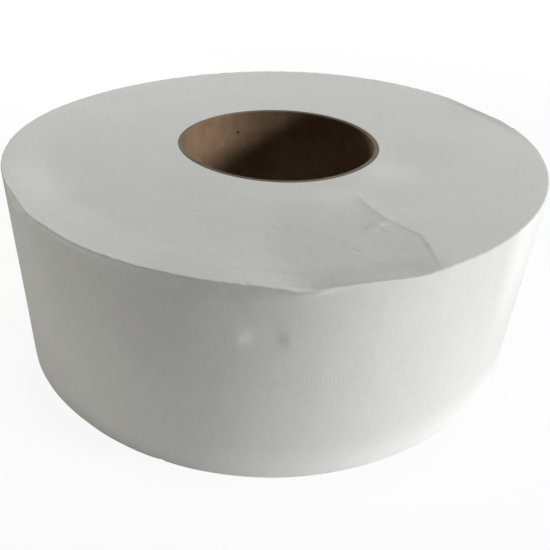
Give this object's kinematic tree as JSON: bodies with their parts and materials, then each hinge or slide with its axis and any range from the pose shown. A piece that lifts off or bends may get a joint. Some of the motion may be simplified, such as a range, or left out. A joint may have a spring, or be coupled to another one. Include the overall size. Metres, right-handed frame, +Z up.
{
  "type": "toilet paper roll",
  "caption": "Jumbo toilet paper roll: a wide winding of two-ply tissue on a cardboard tube, standing on one end, with a pressed front rim.",
  "frame": {"origin": "the core's axis at the lower end face, which the roll stands on", "axes": "+Z up along the core's axis; -Y towards the side with the pressed rim; +X to the right seen from that side"},
  "size_m": [0.2309, 0.2334, 0.0836],
  "materials": {
    "tissue": "soft matt two-ply tissue",
    "board": "matt brown core board"
  },
  "bodies": {
    "root": {"wound_tissue": "tissue", "core_tube": "board"}
  },
  "joints": []
}
